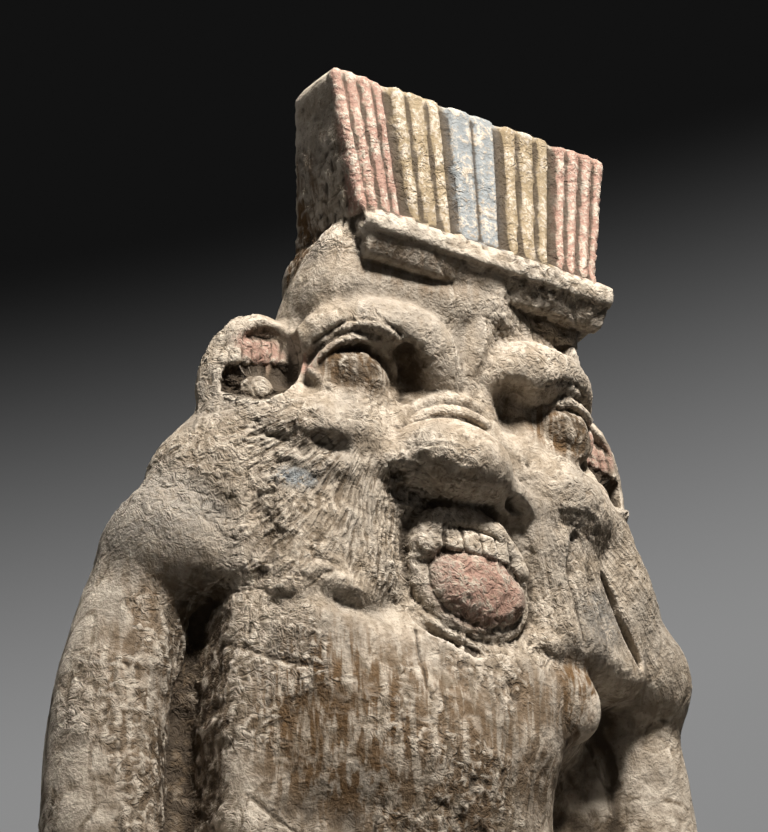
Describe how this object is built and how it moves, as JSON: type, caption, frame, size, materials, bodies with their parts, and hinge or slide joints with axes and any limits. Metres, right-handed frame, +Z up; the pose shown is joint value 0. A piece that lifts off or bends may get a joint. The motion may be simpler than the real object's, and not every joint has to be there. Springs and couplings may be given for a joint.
{
  "type": "bes figure",
  "caption": "Squat lion-faced guardian figure in painted limestone: feather crown, open mouth with tongue out, mane, hands on bowed thighs, on a low base",
  "frame": {"origin": "centre of the footprint, on the plane of the underside", "axes": "+X toward the figure's left hand, which is the viewer's right; -Y the way the face looks; +Z up"},
  "size_m": [0.6305, 0.28, 0.922],
  "materials": {
    "painted_limestone": "weathered, matt limestone with traces of red, ochre and blue paint"
  },
  "bodies": {
    "root": {"bes_figure": "painted_limestone"}
  },
  "joints": []
}
